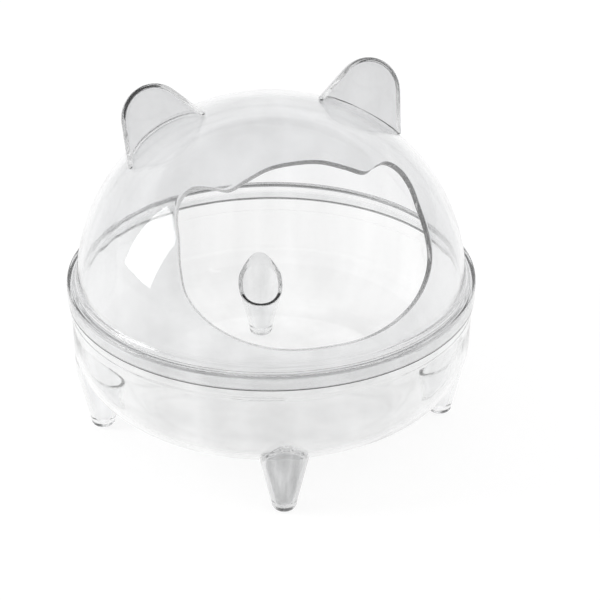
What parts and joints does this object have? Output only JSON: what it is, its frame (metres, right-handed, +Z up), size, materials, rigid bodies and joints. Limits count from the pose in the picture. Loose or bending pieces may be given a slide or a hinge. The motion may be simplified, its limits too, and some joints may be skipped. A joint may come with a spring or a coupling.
{
  "type": "small pet sand bath",
  "caption": "Clear round sand bath for a hamster: a bowl on short hollow feet under a lift-off dome lid with bear ears and a bear-head entrance.",
  "frame": {"origin": "on the ground at the centre of the circle that the feet stand on, under the axis of the bowl and the lid", "axes": "+Z up along the axis of the bowl and the lid; -Y is the way the lid's entrance faces; +X to the right of someone who stands behind the bath"},
  "size_m": [0.135, 0.135, 0.1234],
  "materials": {
    "bowl_clear": "gloss",
    "lid_clear": "gloss"
  },
  "bodies": {
    "base": {"bowl": "bowl_clear", "foot_front": "bowl_clear", "foot_right": "bowl_clear", "foot_back": "bowl_clear", "foot_left": "bowl_clear"},
    "lid": {"lid_dome": "lid_clear", "ear_right": "lid_clear", "ear_left": "lid_clear"}
  },
  "joints": [
    {"name": "lid_lift", "type": "slide", "parent": "base", "child": "lid", "axis": [0, 0, 1], "range_m": [0, 0.08]}
  ]
}
